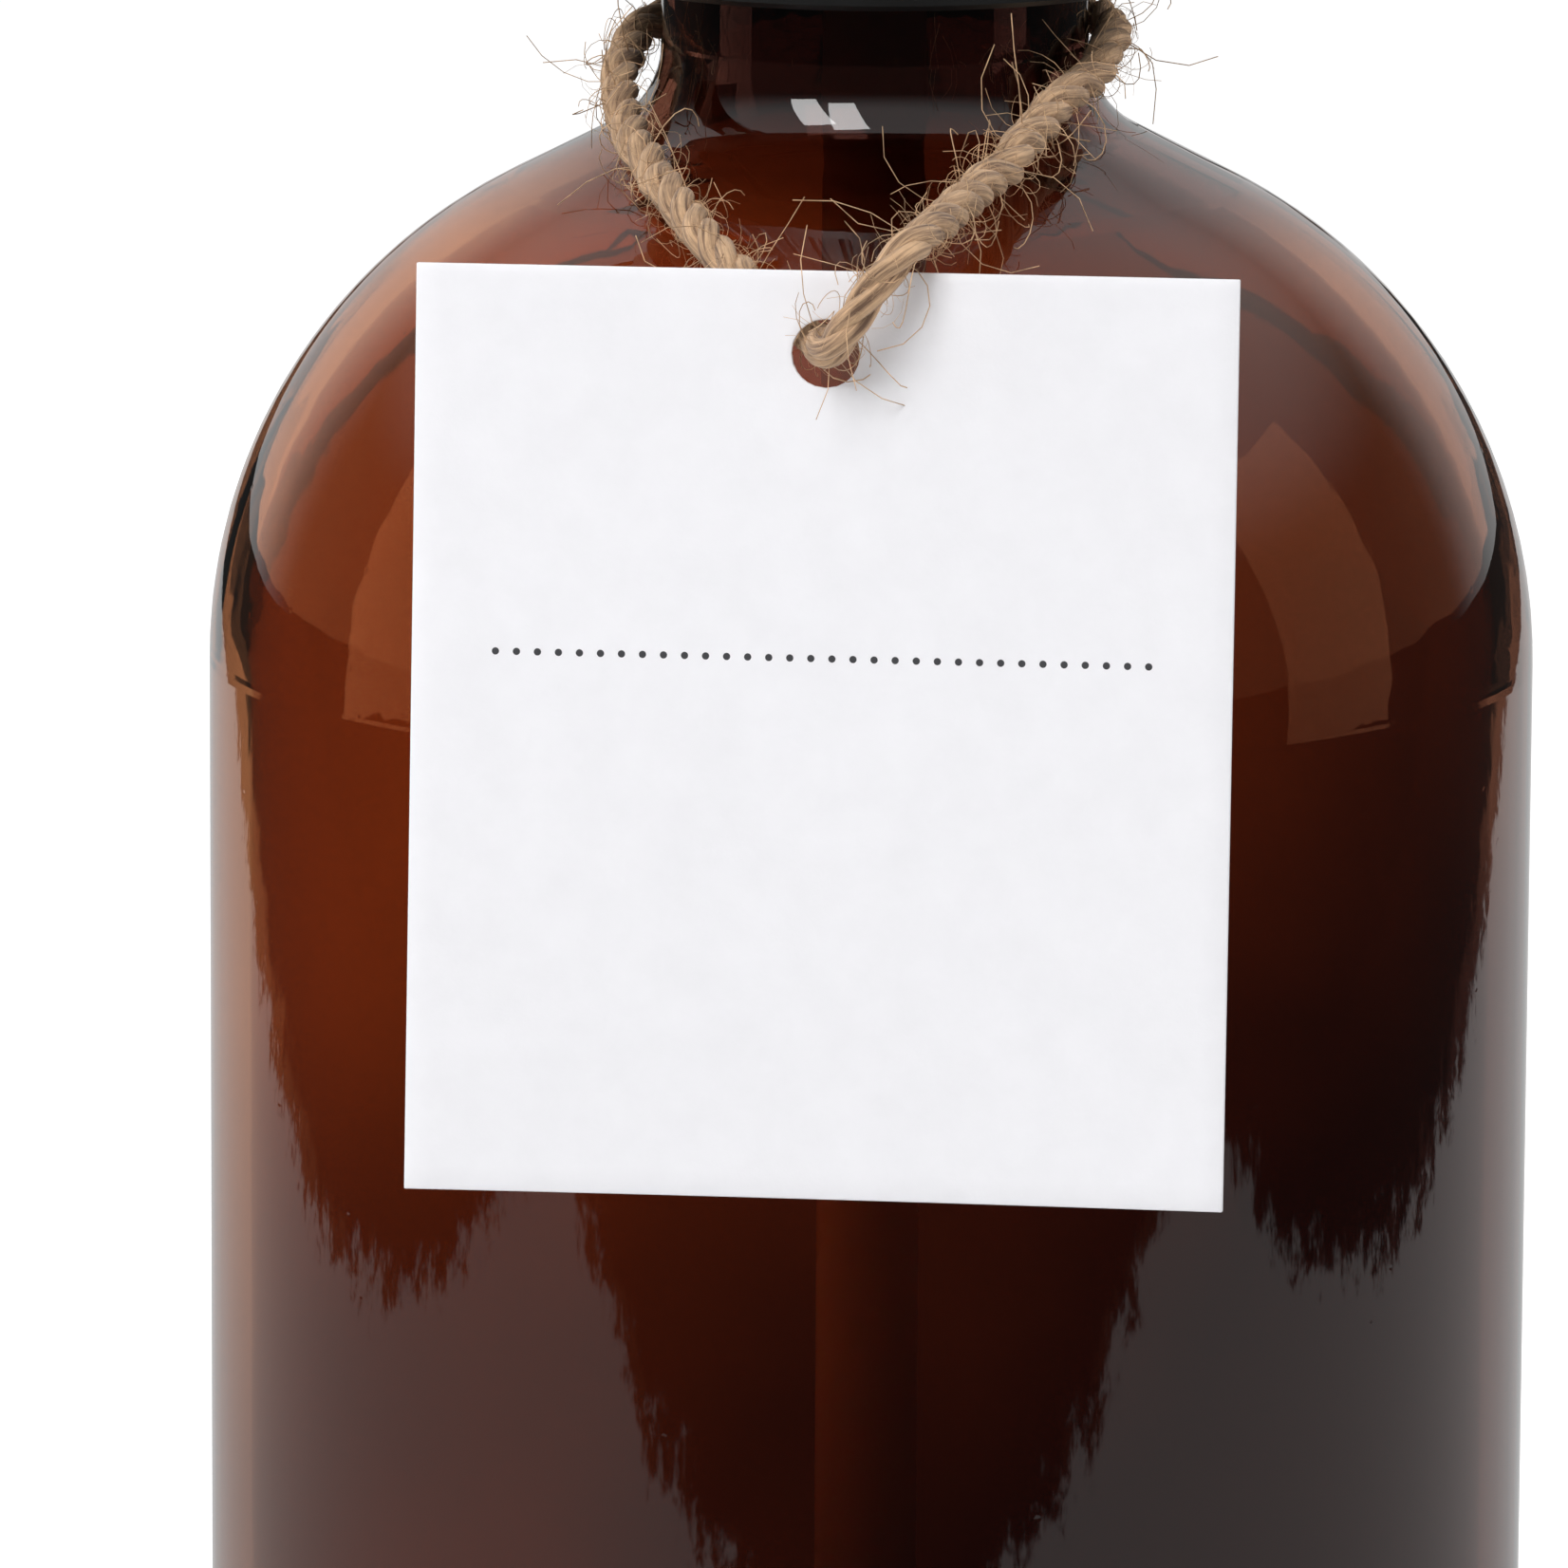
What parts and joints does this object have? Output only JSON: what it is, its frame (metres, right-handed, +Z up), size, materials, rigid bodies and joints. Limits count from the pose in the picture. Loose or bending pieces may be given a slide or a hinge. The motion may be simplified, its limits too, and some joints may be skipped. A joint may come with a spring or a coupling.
{
  "type": "trigger spray bottle",
  "caption": "Amber glass round bottle with a black trigger sprayer on its screw neck and a blank card hang tag tied round the neck with jute twine.",
  "frame": {"origin": "centre of the bottle's base, in the plane of its ring foot", "axes": "+Z up along the bottle, -X the way the nozzle points, -Y the side that the hang tag hangs on"},
  "size_m": [0.0925, 0.0814, 0.2174],
  "materials": {
    "amber_glass": "clear amber container glass, glossy",
    "black_plastic": "black moulded polypropylene, satin",
    "trigger_plastic": "black moulded polypropylene, satin",
    "nozzle_plastic": "black moulded polypropylene, satin",
    "natural_plastic": "natural milky polypropylene",
    "tube_plastic": "natural polyethylene tube",
    "foam_liner": "white expanded polyethylene",
    "soft_seal": "soft polyethylene",
    "steel_ball": "polished stainless steel",
    "spring_wire": "stainless spring wire",
    "tag_card": "uncoated white card",
    "jute": "two-ply hairy jute twine"
  },
  "bodies": {
    "bottle": {"bottle": "amber_glass"},
    "seal": {"neck_gasket": "foam_liner"},
    "closure": {"closure": "black_plastic"},
    "head": {"tube_retainer": "natural_plastic", "dip_tube": "tube_plastic", "sprayer_body": "black_plastic", "shroud": "black_plastic", "valve_plug": "black_plastic", "swirl_insert": "natural_plastic", "return_spring": "spring_wire", "outlet_spring": "spring_wire"},
    "trigger": {"trigger": "trigger_plastic"},
    "piston": {"piston": "natural_plastic", "piston_seal": "soft_seal"},
    "nozzle": {"nozzle": "nozzle_plastic", "nozzle_seal": "soft_seal"},
    "inlet_ball": {"inlet_ball": "steel_ball"},
    "outlet_ball": {"outlet_ball": "steel_ball"},
    "string": {"twine": "jute", "twine_knot": "jute"},
    "tag": {"hang_tag": "tag_card"}
  },
  "joints": [
    {"name": "head_rise", "type": "slide", "parent": "bottle", "child": "seal", "axis": [0, 0, 1], "range_m": [0, 0.00952]},
    {"name": "closure_turn", "type": "hinge", "parent": "seal", "child": "closure", "pos_m": [0, 0, 0.165], "axis": [0, 0, 1], "range_deg": [0, 810]},
    {"name": "head_swivel", "type": "hinge", "parent": "seal", "child": "head", "pos_m": [0, 0, 0.172], "axis": [0, 0, 1], "continuous": true},
    {"name": "trigger_pull", "type": "hinge", "parent": "head", "child": "trigger", "pos_m": [-0.03153, 0, 0.20399], "axis": [0, -1, 0], "range_deg": [0, 24], "stiffness_Nm_per_rad": 0.7, "springref_deg": -11.46},
    {"name": "piston_slide", "type": "slide", "parent": "head", "child": "piston", "axis": [1, 0, 0], "range_m": [0, 0.00671], "deforming": ["return_spring"]},
    {"name": "nozzle_turn", "type": "hinge", "parent": "head", "child": "nozzle", "pos_m": [-0.045, 0, 0.20599], "axis": [-1, 0, 0], "continuous": true},
    {"name": "inlet_ball_lift", "type": "slide", "parent": "head", "child": "inlet_ball", "axis": [0, 0, 1], "range_m": [0, 0.0018]},
    {"name": "outlet_ball_lift", "type": "slide", "parent": "head", "child": "outlet_ball", "axis": [0, 0, 1], "range_m": [0, 0.0012], "stiffness_N_per_m": 60, "springref_m": -0.001, "deforming": ["outlet_spring"]},
    {"name": "string_turn", "type": "hinge", "parent": "bottle", "child": "string", "pos_m": [0, 0, 0.155], "axis": [0, 0, 1], "continuous": true},
    {"name": "tag_swing", "type": "hinge", "parent": "string", "child": "tag", "pos_m": [-0.00296, -0.0366, 0.14275], "axis": [-0.1128, -0.9898, 0.0872], "range_deg": [-8, 8]}
  ],
  "couplings": [
    {"joint": "closure_turn", "follows": "head_rise", "rad_per_m": 1484.3},
    {"joint": "piston_slide", "follows": "trigger_pull", "m_per_rad": 0.016}
  ]
}
